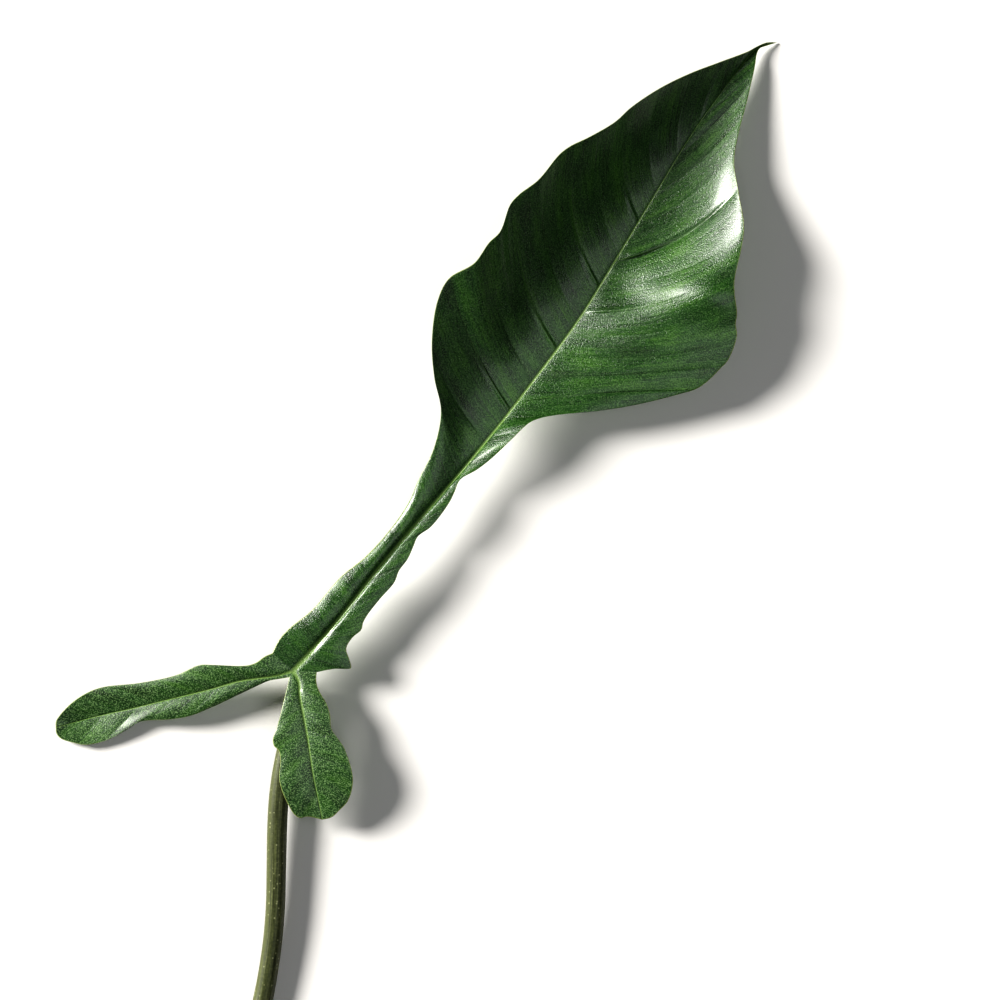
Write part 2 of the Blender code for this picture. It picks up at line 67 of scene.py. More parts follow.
frontRightMargin = (
    (10.5, -0.5, 16.4), (18.5, 1, 16.4), (25, 1, 16.6), (26, 1.4, 16.6), (25.3, 5, 16.9),
    (23.8, 10, 17.2), (26.5, 15, 17.6), (30.5, 18.5, 18), (31.5, 22, 18.3), (33.5, 25.5, 18.6),
    (39, 32.5, 19), (45.5, 40, 19.4), (47.5, 45, 19.8), (51.5, 50.5, 20), (54, 56, 20),
    (56, 60.5, 19.8), (62, 65, 20.2), (70, 75.5, 20.8), (72.5, 80.5, 20.8), (75, 86, 20.4),
    (82.5, 90.5, 20.4), (89, 95.5, 21.5), (97.5, 103.5, 23.5), (106, 111.5, 23),
    (110.5, 113.5, 21.8), (117.5, 115, 20.2), (137.5, 117, 18.6), (155.5, 120, 18), (173.5, 124.5, 18),
    (181.5, 127, 18.4), (186.5, 130.5, 19), (191, 135, 19.8), (195.5, 140, 20.8),
    (199.3, 151, 23), (198.6, 156, 24), (199.2, 160, 25), (198, 170, 26.5), (198, 175.5, 27),
    (201, 189.5, 27.5), (202.3, 199.5, 26.5), (200, 215.5, 21), (198.3, 230, 15.5),
    (201, 244.5, 12), (203.5, 253.5, 9.8), (208, 272.5, 6.2), (209, 278.5, 5),
    (210.3, 281, 4.4), (213.5, 282.3, 3), (218.5, 284, 0.9),
)
leftRib = (
    (0, 0, 16), (-6, -2, 15.6), (-15.5, -3.3, 15), (-24.5, -4.7, 14), (-38, -8.5, 12),
    (-56, -13, 8.6), (-74, -17.5, 4.6), (-89.5, -21, 1.6), (-99, -23.5, 0.8), (-108, -26, 2.4),
)
leftUpperMargin = (
    (-9.5, 8, 16.4), (-13, 6.5, 16.8), (-17, 3.7, 16.4), (-21.5, 2.4, 16), (-36, 2.7, 14.8),
    (-42.5, 2.6, 13.8), (-53, -2, 11.4), (-69.5, -5.6, 8), (-86, -7.5, 5), (-92.5, -9.6, 4.4),
    (-100, -14.2, 3.6), (-105.5, -19.6, 2.9), (-107.8, -23, 2.5), (-108, -26, 2.4),
)
leftLowerMargin = (
    (-1.8, -2.8, 16), (-6.5, -3.6, 15.2), (-11, -4.4, 14.8), (-20, -8.5, 13.6), (-38, -17, 11),
    (-47, -20.5, 9.6), (-56, -22.1, 8), (-69.5, -23.2, 6), (-77.5, -28, 5),
    (-86, -32, 4.2), (-94.5, -33.7, 4), (-100, -32.7, 4), (-105.4, -31, 3.6),
    (-107.6, -28.7, 3), (-108, -26, 2.4),
)
rightRib = (
    (0, 0, 16), (2.5, -4.5, 17), (3, -11, 17.8), (4.5, -19, 18.2), (6.3, -29, 18.2),
    (7.6, -38, 17.7), (9, -47, 16.8), (11, -57, 15.2), (13, -67, 13.5),
)
rightOuterMargin = (
    (10.5, -0.5, 16.4), (10.3, -4.5, 17.3), (11.7, -9, 18.5), (15, -14.5, 19.5), (16.7, -20, 20),
    (17.1, -25.5, 20.5), (20, -30, 20.5), (23, -34.5, 20.5), (26.7, -46.5, 19),
    (26.5, -52.5, 17.5), (24.3, -58.8, 16), (20.6, -62.8, 15), (17.2, -65.9, 14.2), (13, -67, 13.5),
)
rightInnerMargin = (
    (-1.8, -2.8, 16), (-3, -8, 17), (-4.5, -14, 17.8), (-5.9, -20, 18.2), (-7.6, -26, 18.4),
    (-9.2, -30.5, 18.4), (-8.6, -33.7, 18), (-6.6, -35.7, 17.8), (-5.8, -40, 17.5),
    (-6.4, -47.5, 17), (-5.4, -53, 16.6), (-2.7, -59.5, 15.8), (0.5, -64.8, 14.6), (2.9, -66.3, 14),
    (6, -65.6, 13.8), (13, -67, 13.5),
)

# Side veins: where each leaves its rib, where it meets the margin, its bow towards the root as a share
# of its length, the crown of the lamina along it, its rise near the rib and fall near the margin, and
# how deep it is sunk.
frontLeftVeins = (
    ((10.8, 11.7), (3.6, 23), 0, 1.4, 0, 0.1), ((23, 25.7), (17, 37), 0, 1.4, 0, 0.1),
    ((35, 41.4), (30.6, 50), 0, 1.4, 0, 0.1), ((47.7, 56.7), (44, 64.4), 0.03, 1.4, 0, 0.1),
    ((61.2, 72.9), (57, 87), 0.05, 1.4, 0, 0.1), ((74.7, 88.7), (65.7, 113.4), 0.08, 0.4, 0, 0.15),
    ((86.9, 103.5), (62.5, 143.5), 0.1, -2.4, -0.4, 0.2), ((97.7, 117), (71, 176), 0.1, -3.8, -1, 0.5),
    ((108.5, 131), (87, 190), 0.15, -4, -1.2, 0.15), ((118.4, 144.5), (101, 213), 0.18, -4, -1.2, 0.5),
    ((128.3, 158), (113.4, 223), 0.19, -3.8, -1.2, 0.15),
    ((137.7, 172.8), (127, 236), 0.2, -3.4, -1, 0.5),
    ((146.7, 187.7), (139, 242.5), 0.2, -3, -0.8, 0.15),
    ((155.3, 201.6), (151, 252.5), 0.2, -2.4, -0.6, 0.5),
    ((163.4, 215.6), (164.7, 261.5), 0.18, -1.8, -0.4, 0.15),
    ((172.8, 231.3), (179.6, 269), 0.12, -1.2, -0.2, 0.2),
    ((182.7, 247), (192.6, 274.5), 0.08, -0.6, -0.1, 0.15), ((195, 264), (199, 277), 0.04, 0, 0, 0.1),
    ((207, 279.2), (206.4, 280.3), 0, 0, 0, 0),
)
frontRightVeins = (
    ((6.3, 7.2), (26, 1.2), 0, 0.6, 0, 0.1), ((15.3, 17.1), (31.5, 20), 0, 0.6, 0, 0.1),
    ((25.2, 28.8), (42, 36.5), 0, 0.5, 0, 0.1), ((35, 41.4), (49.5, 47.7), 0, 0.4, 0, 0.1),
    ((46, 54.5), (56, 60.5), 0, 0.3, 0, 0.1), ((57.6, 68.4), (68.4, 73.2), 0, 0.3, 0, 0.1),
    ((68.4, 81.5), (74.2, 84.2), 0, 0.2, 0, 0.1), ((78.3, 93), (88.2, 95), 0, 0.2, 0, 0.1),
    ((88.2, 104.9), (102, 108), 0, 0.4, 0, 0.1), ((95, 113.4), (119.7, 115.4), 0, 1, 0, 0.2),
    ((101.3, 121.5), (178, 126), -0.03, 1.2, 0, 0.6), ((109.4, 132.3), (192.6, 136.6), 0.03, 1.6, 0, 0.2),
    ((117.5, 143), (198.4, 147), 0.1, 2, 0, 0.3), ((124.2, 152), (199, 162.5), 0.14, 2.2, 0, 0.2),
    ((131, 161.6), (199.4, 181), 0.16, 2.2, 0, 0.5), ((138.2, 173.3), (202, 196.2), 0.17, 0, 0, 0.2),
    ((145.4, 184.5), (200, 216.5), 0.17, -2.6, 0, 1.6),
    ((154.4, 200.3), (198.4, 232.2), 0.12, -0.6, 0, 0.2),
    ((163.4, 214.2), (202.5, 249.3), 0.08, -0.2, 0, 0.6),
    ((173.7, 232.2), (206, 266), 0.06, -0.6, 0, 0.2),
    ((185, 250.2), (207.4, 270.5), 0.04, 0, 0, 0.2), ((198, 267.5), (208.8, 276.2), 0, 0, 0, 0.1),
    ((207, 279.2), (209.7, 279.8), 0, 0, 0, 0),
)
leftUpperVeins = (
    ((-8.5, -2.3), (-17, 3.7), 0.05, 0.6, 0, 0.12), ((-19.8, -4), (-33, 2.6), 0.1, 1, 0, 0.12),
    ((-31, -6.8), (-49, 0.2), 0.1, 1.2, 0, 0.15), ((-46.8, -10.6), (-64.8, -5), 0.1, 1.2, 0, 0.12),
    ((-64.8, -15), (-85, -7.4), 0.1, 0.8, 0, 0.18), ((-80.5, -19), (-97.2, -12.2), 0.1, 0.2, 0, 0.15),
    ((-91, -21.4), (-105.3, -19.4), 0.1, 0, 0, 0.18),
)
leftLowerVeins = (
    ((-8.5, -2.3), (-13, -5.2), 0, 0, 0, 0.06), ((-19.8, -4), (-29.7, -13), 0.05, 0.6, 0, 0.12),
    ((-35.5, -8), (-49, -20.9), 0.08, 0.8, 0, 0.12), ((-53.5, -12.4), (-68.3, -23), 0.04, 0.6, 0, 0.12),
    ((-71.5, -16.9), (-86, -32), 0.05, -0.6, 0, 0.12),
    ((-87.3, -20.7), (-100, -32.7), 0.1, -0.8, 0, 0.12),
    ((-97.2, -23), (-106.6, -30), 0.05, -0.3, 0, 0.06),
)
rightOuterVeins = (
    ((2.7, -7.7), (11.7, -9.5), 0, 0.4, 0, 0.21), ((4, -16.7), (16.7, -20), 0.05, 0.5, 0, 0.12),
    ((5.9, -26.6), (20.7, -31.2), 0.08, 0.6, 0, 0.12), ((7.6, -36.9), (26, -43.7), 0.1, 0.8, 0, 0.12),
    ((9, -46.8), (25.7, -56.3), 0.1, 0.8, 0, 0.12), ((10.4, -55.8), (19.8, -63.5), 0.05, 0.4, 0, 0.09),
)
rightInnerVeins = (
    ((2.7, -7.7), (-4, -11.7), 0, 0.3, 0, 0.09), ((4, -16.7), (-6.8, -23.4), 0.05, 0.5, 0, 0.12),
    ((5.9, -26.6), (-8.1, -34.9), 0.08, 0.7, 0, 0.12), ((7.6, -36.9), (-6.3, -48.6), 0.1, 0.8, 0, 0.12),
    ((9, -46.8), (-2.3, -60.3), 0.1, 0.8, 0, 0.12), ((10.4, -55.8), (4, -66), 0.05, 0.4, 0, 0.09),
)

# Pleats beside some side veins, by the vein's point on the rib: height, above zero where the lip stands
# on the vein's tip side; width of the lip; where along the vein it is full, and where it has died away.
pleats = {
    (145.4, 184.5): (2.1, 2.4, 0.14, 1.0), (163.4, 214.2): (0.6, 1.2, 0.08, 0.6),
    (131, 161.6): (0.8, 1.4, 0.1, 0.9), (101.3, 121.5): (0.6, 1.2, 0.1, 0.75),
    (155.3, 201.6): (-0.9, 1.2, 0.06, 0.55), (137.7, 172.8): (-0.9, 1.2, 0.06, 0.45),
    (118.4, 144.5): (-0.9, 1.2, 0.06, 0.55), (97.7, 117): (-0.8, 1.2, 0.08, 0.8),
}

# Broad swells and dips of the lamina: middle, the way they run in degrees, half length, half width, height.
swells = (
    ((188, 168), -10, 15, 9, 3.2), ((150, 170), -27, 10, 8, -1.2),
)

# The drawn points stand where the frame's blade does.
bladeLow, bladeHigh = (np.array(corner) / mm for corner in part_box("leaf_blade"))
rootPlace = np.array([bladeLow[0] - leftRib[-1][0], bladeHigh[1] - frontRib[-1][1], 0])


def addNode(tree, kind, sockets=(), stops=(), **settings):
    node = tree.nodes.new(kind)
    for name, value in settings.items():
        setattr(node, name, value)
    for key, value in dict(sockets).items():
        if isinstance(value, bpy.types.NodeSocket):
            tree.links.new(value, node.inputs[key])
        else:
            node.inputs[key].default_value = value
    for n, (place, colour) in enumerate(stops):
        ramp = node.color_ramp.elements
        stop = ramp[n] if n < len(ramp) else ramp.new(place)
        stop.position, stop.color = place, colour
    return node


def fromHex(code):
    channels = [int(code[k:k + 2], 16) / 255 for k in (1, 3, 5)]
    return (*(c / 12.92 if c <= 0.04045 else ((c + 0.055) / 1.055) ** 2.4 for c in channels), 1)


def newMaterial(name):
    material = bpy.data.materials.new(name)
    material.use_nodes = True
    material.node_tree.nodes.clear()
    return material, material.node_tree


# The lamina's upper face: living leaf under a waxy cuticle, so a deep saturated green with a hard gloss
# that parallel fine veins and pores break into streaks and sparks. The ear lobes have lost their wax and
# look dusty. Pale only on the midrib, beside the side veins and on the thin rim; the rim is the margin's
# own paler edge, painted paler still as a highlight of the lit margin.
upperLook = {
    "shade": "#0f260a", "green": "#26501a", "lit": "#48761f", "rib": "#86a259", "ribEdge": "#587a3c",
    "rim": "#a9b56a", "dust": "#7d9a66", "streakMm": 1.1, "mottleMm": 14, "poreMm": 0.55,
    "roughness": 0.29, "earRoughness": 0.4, "cuticleIor": 1.5, "ribReach": 1.1, "veinLineMm": 0.5,
}


def upperMaterial():
    look = upperLook
    material, tree = newMaterial("waxy leaf cuticle over green lamina")
    place = addNode(tree, "ShaderNodeAttribute", attribute_name="weave").outputs["Vector"]
    gaps = addNode(tree, "ShaderNodeSeparateXYZ", {
        0: addNode(tree, "ShaderNodeAttribute", attribute_name="gaps").outputs["Vector"]})
    veinShow = addNode(tree, "ShaderNodeAttribute", attribute_name="veinShow").outputs["Fac"]
    solidPlace = addNode(tree, "ShaderNodeTexCoord").outputs["Object"]
    streakPlace = addNode(tree, "ShaderNodeMapping", {0: place, 3: (1 / look["streakMm"], 0.035, 1)})
    streaks = addNode(tree, "ShaderNodeTexNoise", {
        0: streakPlace.outputs[0], "Scale": 1, "Detail": 3, "Roughness": 0.65})
    broadPlace = addNode(tree, "ShaderNodeMapping", {0: place, 3: (1 / 7, 0.02, 1)})
    broad = addNode(tree, "ShaderNodeTexNoise", {0: broadPlace.outputs[0], "Scale": 1, "Detail": 2})
    mottle = addNode(tree, "ShaderNodeTexNoise",
        {0: solidPlace, "Scale": 1 / (look["mottleMm"] * mm), "Detail": 3})
    pores = addNode(tree, "ShaderNodeTexNoise", {
        0: solidPlace, "Scale": 1 / (look["poreMm"] * mm), "Detail": 1, "Roughness": 0.5})
    seed = addNode(tree, "ShaderNodeSeparateXYZ", {0: place}).outputs[2]
    onEar = addNode(tree, "ShaderNodeMapRange", {0: seed, 1: 1.2, 2: 1.8, 3: 0.0, 4: 1.0}).outputs[0]

    fine = addNode(tree, "ShaderNodeMath", {0: streaks.outputs[0], 1: 0.5}, operation="MULTIPLY")
    wide = addNode(tree, "ShaderNodeMath", {0: broad.outputs[0], 1: 0.6, 2: fine.outputs[0]},
        operation="MULTIPLY_ADD")
    tone = addNode(tree, "ShaderNodeMath", {0: mottle.outputs[0], 1: 0.35, 2: wide.outputs[0]},
        operation="MULTIPLY_ADD")
    greens = addNode(tree, "ShaderNodeValToRGB", {0: tone.outputs[0]}, stops=(
        (0.5, fromHex(look["shade"])), (0.72, fromHex(look["green"])), (0.98, fromHex(look["lit"]))))
    poreDark = addNode(tree, "ShaderNodeMapRange",
        {0: pores.outputs[0], 1: 0.3, 2: 0.52, 3: 0.75, 4: 0.0})
    pored = addNode(tree, "ShaderNodeMix", {
        0: poreDark.outputs[0], 6: greens.outputs[0], 7: fromHex(look["shade"])}, data_type="RGBA")
    speck = addNode(tree, "ShaderNodeMapRange", {0: pores.outputs[0], 1: 0.48, 2: 0.7, 3: 0.0, 4: 1.0})
    dusting = addNode(tree, "ShaderNodeMapRange", {0: onEar, 3: 0.35, 4: 0.95})
    dustMask = addNode(tree, "ShaderNodeMath", {0: speck.outputs[0], 1: dusting.outputs[0]},
        operation="MULTIPLY")
    dusted = addNode(tree, "ShaderNodeMix", {
        0: dustMask.outputs[0], 6: pored.outputs[2], 7: fromHex(look["dust"])}, data_type="RGBA")

    veinLine = addNode(tree, "ShaderNodeMapRange", {
        0: gaps.outputs[2], 1: 0.0, 2: look["veinLineMm"], 3: 0.55, 4: 0.0},
        interpolation_type="SMOOTHSTEP")
    veinMask = addNode(tree, "ShaderNodeMath", {0: veinLine.outputs[0], 1: veinShow},
        operation="MULTIPLY", use_clamp=True)
    withVeins = addNode(tree, "ShaderNodeMix", {
        0: veinMask.outputs[0], 6: dusted.outputs[2], 7: fromHex(look["ribEdge"])}, data_type="RGBA")
    ribBlur = addNode(tree, "ShaderNodeMath", {0: streaks.outputs[0], 1: 0.5, 2: gaps.outputs[0]},
        operation="MULTIPLY_ADD")
    ribMask = addNode(tree, "ShaderNodeMapRange", {
        0: ribBlur.outputs[0], 1: 0.55 * look["ribReach"], 2: look["ribReach"], 3: 1.0, 4: 0.0},
        interpolation_type="SMOOTHSTEP")
    ribTone = addNode(tree, "ShaderNodeMix", {
        0: pores.outputs[0], 6: fromHex(look["rib"]), 7: fromHex(look["ribEdge"])}, data_type="RGBA")
    withRib = addNode(tree, "ShaderNodeMix", {
        0: ribMask.outputs[0], 6: withVeins.outputs[2], 7: ribTone.outputs[2]}, data_type="RGBA")
    # Painted highlight: a pale band along the margin, partly the edge's own paler tone and partly painted
    # light.
    rimHighlightMask = addNode(tree, "ShaderNodeMapRange", {0: gaps.outputs[1], 1: 0.1, 2: 0.5, 3: 0.7, 4: 0.0})
    withRimHighlight = addNode(tree, "ShaderNodeMix", {
        0: rimHighlightMask.outputs[0], 6: withRib.outputs[2], 7: fromHex(look["rim"])}, data_type="RGBA")

    smoothness = addNode(tree, "ShaderNodeMapRange",
        {0: onEar, 3: look["roughness"], 4: look["earRoughness"]})
    broken = addNode(tree, "ShaderNodeMapRange",
        {0: streaks.outputs[0], 1: 0.3, 2: 0.7, 3: -0.08, 4: 0.1})
    rough = addNode(tree, "ShaderNodeMath", {0: smoothness.outputs[0], 1: broken.outputs[0]},
        operation="ADD")
    streakBump = addNode(tree, "ShaderNodeBump",
        {"Strength": 0.6, "Distance": 0.0003, "Height": streaks.outputs[0]})
    poreBump = addNode(tree, "ShaderNodeBump", {
        "Strength": 0.7, "Distance": 0.0003, "Height": pores.outputs[0], "Normal": streakBump.outputs[0]})
    shader = addNode(tree, "ShaderNodeBsdfPrincipled", {
        "Base Color": withRimHighlight.outputs[2], "Roughness": rough.outputs[0], "Normal": poreBump.outputs[0],
        "IOR": look["cuticleIor"], "Coat Weight": 0.4, "Coat Roughness": 0.2})
    addNode(tree, "ShaderNodeOutputMaterial", {0: shader.outputs[0]})
    return material


# The underside: no gloss, paler and greyer, with the ribs and side veins raised and lighter still.
underLook = {"green": "#48693a", "pale": "#6d8a55", "rib": "#a3b57c", "roughness": 0.55}


def underMaterial():
    look = underLook
    material, tree = newMaterial("matte leaf underside")
    place = addNode(tree, "ShaderNodeAttribute", attribute_name="weave").outputs["Vector"]
    gaps = addNode(tree, "ShaderNodeSeparateXYZ", {0: addNode(
        tree, "ShaderNodeAttribute", attribute_name="gaps").outputs["Vector"]})
    streakPlace = addNode(tree, "ShaderNodeMapping", {0: place, 3: (1.2, 0.04, 1)})
    streaks = addNode(tree, "ShaderNodeTexNoise", {0: streakPlace.outputs[0], "Scale": 1, "Detail": 3})
    greens = addNode(tree, "ShaderNodeMix",
        {0: streaks.outputs[0], 6: fromHex(look["green"]), 7: fromHex(look["pale"])}, data_type="RGBA")
    ribMask = addNode(tree, "ShaderNodeMapRange", {0: gaps.outputs[0], 1: 0.7, 2: 1.3, 3: 1.0, 4: 0.0})
    withRib = addNode(tree, "ShaderNodeMix",
        {0: ribMask.outputs[0], 6: greens.outputs[2], 7: fromHex(look["rib"])}, data_type="RGBA")
    bump = addNode(tree, "ShaderNodeBump",
        {"Strength": 0.4, "Distance": 0.00015, "Height": streaks.outputs[0]})
    shader = addNode(tree, "ShaderNodeBsdfPrincipled", {
        "Base Color": withRib.outputs[2], "Roughness": look["roughness"], "Normal": bump.outputs[0],
        "IOR": 1.4})
    addNode(tree, "ShaderNodeOutputMaterial", {0: shader.outputs[0]})
    return material


# Stalk skin: olive with a brown cast, satin, drawn out in fine lengthwise streaks; its ridges are painted
# paler as a highlight.
stalkLook = {
    "dark": "#262b13", "olive": "#444a27", "pale": "#6b7149", "fleck": "#a3a67c", "flesh": "#b9bf92",
    "strand": "#6f7a4a", "fleckMm": 2.6, "roughness": 0.42,
}


def stalkMaterial():
    look = stalkLook
    material, tree = newMaterial("olive stalk skin")
    place = addNode(tree, "ShaderNodeCombineXYZ", {
        0: addNode(tree, "ShaderNodeAttribute", attribute_name="around").outputs["Fac"],
        1: addNode(tree, "ShaderNodeAttribute", attribute_name="lengthwise").outputs["Fac"]})
    solidPlace = addNode(tree, "ShaderNodeTexCoord").outputs["Object"]
    streakPlace = addNode(tree, "ShaderNodeMapping", {0: place.outputs[0], 3: (7, 45, 1)})
    streaks = addNode(tree, "ShaderNodeTexNoise", {
        0: streakPlace.outputs[0], "Scale": 1, "Detail": 4, "Roughness": 0.65})
    ridge = addNode(tree, "ShaderNodeAttribute", attribute_name="ridge").outputs["Fac"]
    mottle = addNode(tree, "ShaderNodeTexNoise", {0: solidPlace, "Scale": 900, "Detail": 3})
    tone = addNode(tree, "ShaderNodeMath", {0: mottle.outputs[0], 1: 0.4, 2: streaks.outputs[0]},
        operation="MULTIPLY_ADD")
    skin = addNode(tree, "ShaderNodeValToRGB", {0: tone.outputs[0]}, stops=(
        (0.5, fromHex(look["dark"])), (0.7, fromHex(look["olive"])), (0.95, fromHex(look["pale"]))))
    # Painted highlight: the ridges are painted paler, as where they catch the light.
    ridgeHighlightMask = addNode(tree, "ShaderNodeMath", {0: ridge, 1: 0.6}, operation="MULTIPLY")
    withRidgeHighlight = addNode(tree, "ShaderNodeMix", {
        0: ridgeHighlightMask.outputs[0], 6: skin.outputs[0], 7: fromHex(look["pale"])}, data_type="RGBA")
    cells = addNode(tree, "ShaderNodeTexVoronoi", {0: solidPlace, "Scale": 1 / (look["fleckMm"] * mm)})
    fleck = addNode(tree, "ShaderNodeMapRange",
        {0: cells.outputs["Distance"], 1: 0.1, 2: 0.2, 3: 0.6, 4: 0.0})
    flecked = addNode(tree, "ShaderNodeMix", {
        0: fleck.outputs[0], 6: withRidgeHighlight.outputs[2], 7: fromHex(look["fleck"])}, data_type="RGBA")
    bump = addNode(tree, "ShaderNodeBump",
        {"Strength": 0.5, "Distance": 0.0002, "Height": tone.outputs[0]})
    shader = addNode(tree, "ShaderNodeBsdfPrincipled", {
        "Base Color": flecked.outputs[2], "Roughness": look["roughness"], "Normal": bump.outputs[0],
        "IOR": 1.45})
    addNode(tree, "ShaderNodeOutputMaterial", {0: shader.outputs[0]})
    return material


# The stalk's cut face: wet pale flesh with the darker ends of its strands scattered over it.
def fleshMaterial():
    look = stalkLook
    material, tree = newMaterial("pale cut flesh")
    solidPlace = addNode(tree, "ShaderNodeTexCoord").outputs["Object"]
    cells = addNode(tree, "ShaderNodeTexVoronoi", {0: solidPlace, "Scale": 1100})
    strand = addNode(tree, "ShaderNodeMapRange",
        {0: cells.outputs["Distance"], 1: 0.15, 2: 0.35, 3: 1.0, 4: 0.0})
    flesh = addNode(tree, "ShaderNodeMix", {
        0: strand.outputs[0], 6: fromHex(look["flesh"]), 7: fromHex(look["strand"])}, data_type="RGBA")
    shader = addNode(tree, "ShaderNodeBsdfPrincipled",
        {"Base Color": flesh.outputs[2], "Roughness": 0.35})
    addNode(tree, "ShaderNodeOutputMaterial", {0: shader.outputs[0]})
    return material


# A smooth curve through drawn points, walked by distance along it.
def smoothPath(drawn, samples=3000):
    points = np.array(drawn, float)
    chords = np.linalg.norm(np.diff(points, axis=0), axis=1)
    knots = np.concatenate([[0], np.cumsum(np.sqrt(chords))])
    slopes = np.gradient(points, knots, axis=0)
    walk = np.linspace(0, knots[-1], samples)
    span = np.clip(np.searchsorted(knots, walk, side="right") - 1, 0, len(knots) - 2)
    width = (knots[span + 1] - knots[span])[:, None]
    t = (walk - knots[span])[:, None] / width
    leave, arrive = slopes[span] * width, slopes[span + 1] * width
    gain = points[span + 1] - points[span]
    curve = (
        points[span] + leave * t + (3 * gain - 2 * leave - arrive) * t**2
        + (leave + arrive - 2 * gain) * t**3)
    distance = np.concatenate([[0], np.cumsum(np.linalg.norm(np.diff(curve, axis=0), axis=1))])
    return {"curve": curve, "distance": distance, "length": distance[-1]}


def pointOn(path, distance):
    return np.stack([np.interp(distance, path["distance"], axis) for axis in path["curve"].T], -1)


def nearestOn(path, spot):
    return path["distance"][np.argmin(np.linalg.norm(path["curve"][:, :2] - spot, axis=1))]


# Smooth interpolation that never turns back between rising values.
def riseSmoothly(x, xs, ys):
    rise = np.diff(ys) / np.diff(xs)
    slopes = np.concatenate([[rise[0]], 2 / (1 / rise[:-1] + 1 / rise[1:]), [rise[-1]]])
    i = np.clip(np.searchsorted(xs, x, side="right") - 1, 0, len(xs) - 2)
    width, gain = xs[i + 1] - xs[i], ys[i + 1] - ys[i]
    t = (x - xs[i]) / width
    leave, arrive = slopes[i] * width, slopes[i + 1] * width
    return ys[i] + leave * t + (3 * gain - 2 * leave - arrive) * t**2 + (leave + arrive - 2 * gain) * t**3


blade = {
    "thickness": 0.5, "leastUpright": 0.5, "veinWidth": 0.7, "veinShoulder": 2.6, "lipDrop": 0.6,
    "cushion": 0.25, "stationStep": 1.15, "crowding": 0.55, "rimRound": 0.3, "rimSteps": 3,
    "ribAtRoot": (2.0, 0.7, 3.0), "frontAtTip": (0.35, 0.1, 0.3, 0.8), "earAtTip": (0.5, 0.15, 0.2, 0.25),
    "callusDepth": 2.0, "callusReach": 3.5, "ribColumns": 6, "frontColumns": 30, "earColumns": 20,
    "underVein": 0.25,
}
lobes = (
    (frontRib, frontLeftMargin, frontRightMargin, frontLeftVeins, frontRightVeins, "frontAtTip",
        "frontColumns"),
    (leftRib, leftLowerMargin, leftUpperMargin, leftLowerVeins, leftUpperVeins, "earAtTip", "earColumns"),
    (rightRib, rightOuterMargin, rightInnerMargin, rightOuterVeins, rightInnerVeins, "earAtTip",
        "earColumns"),
)


# The lamina between a rib and one margin. side is 1 to the left of the rib and -1 to the right.
def newHalf(rib, marginPoints, veins, side, seed):
    margin = smoothPath(marginPoints)
    rows = [(0,) * 6, *veins, (0,) * 6]
    half = {"rib": rib, "margin": margin, "side": side, "seed": seed, "veins": veins}
    half["ribMarks"] = np.array([0, *(nearestOn(rib, np.array(v[0])) for v in veins), rib["length"]])
    half["marginMarks"] = np.array([0, *(nearestOn(margin, np.array(v[1])) for v in veins),
        margin["length"]])
    for n, name in enumerate(("bow", "crown", "sway", "sink")):
        half[name] = np.array([row[n + 2] for row in rows], float)
    return half


def stationsAlong(halves):
    marks = np.unique(np.round(np.concatenate([half["ribMarks"] for half in halves]), 3))
    marks = marks[np.concatenate([[True], np.diff(marks) > 0.8])]
    marks[-1] = halves[0]["rib"]["length"]
    stations = [0.0]
    for a, b in zip(marks[:-1], marks[1:]):
        spans = [np.diff(riseSmoothly(np.array([a, b]), half["ribMarks"],
            half["marginMarks"]))[0] for half in halves]
        count = max(2, round(max(b - a, *spans) / blade["stationStep"]))
        t = np.arange(1, count + 1) / count
        t = t - blade["crowding"] * np.sin(2 * math.pi * t) / (2 * math.pi)
        stations += list(a + (b - a) * t)
    return np.array(stations)


